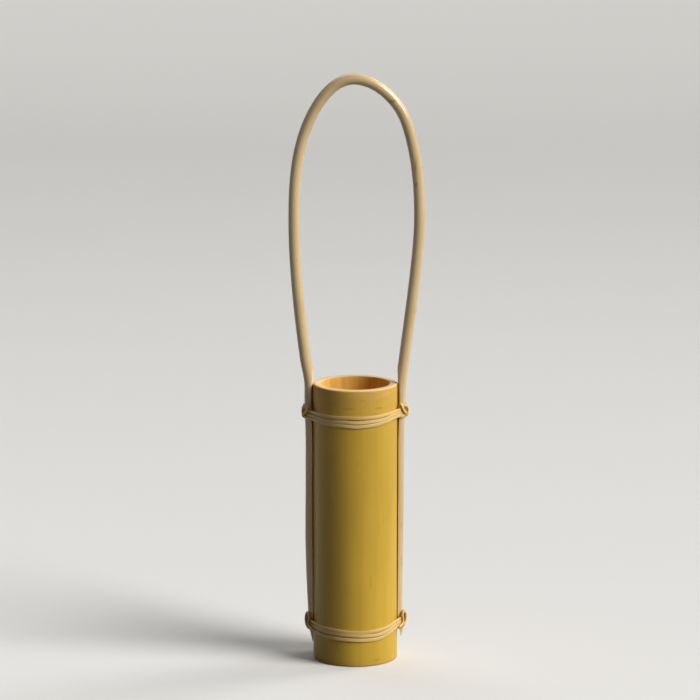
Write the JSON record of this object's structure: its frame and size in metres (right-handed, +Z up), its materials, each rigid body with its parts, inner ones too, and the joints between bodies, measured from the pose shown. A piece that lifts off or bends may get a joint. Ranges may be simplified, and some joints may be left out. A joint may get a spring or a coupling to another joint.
{
  "type": "bamboo vase",
  "caption": "Tall slim flower vase: a hollow bamboo culm with a high bent cane handle, lashed on both sides with split rattan and crossed ties.",
  "frame": {"origin": "on the axis of the bamboo culm, at the surface that the vase stands on", "axes": "+Z up along the culm, +X towards the handle's right leg as seen from the front, the front facing -Y"},
  "size_m": [0.0757, 0.049, 0.33],
  "materials": {
    "bamboo": "satin",
    "cane": "satin",
    "rattan": "satin"
  },
  "bodies": {
    "root": {"bamboo_culm": "bamboo", "cane_handle": "cane", "upper_winding": "rattan", "lower_winding": "rattan", "upper_right_tie": "rattan", "upper_left_tie": "rattan", "lower_right_tie": "rattan", "lower_left_tie": "rattan"}
  },
  "joints": []
}
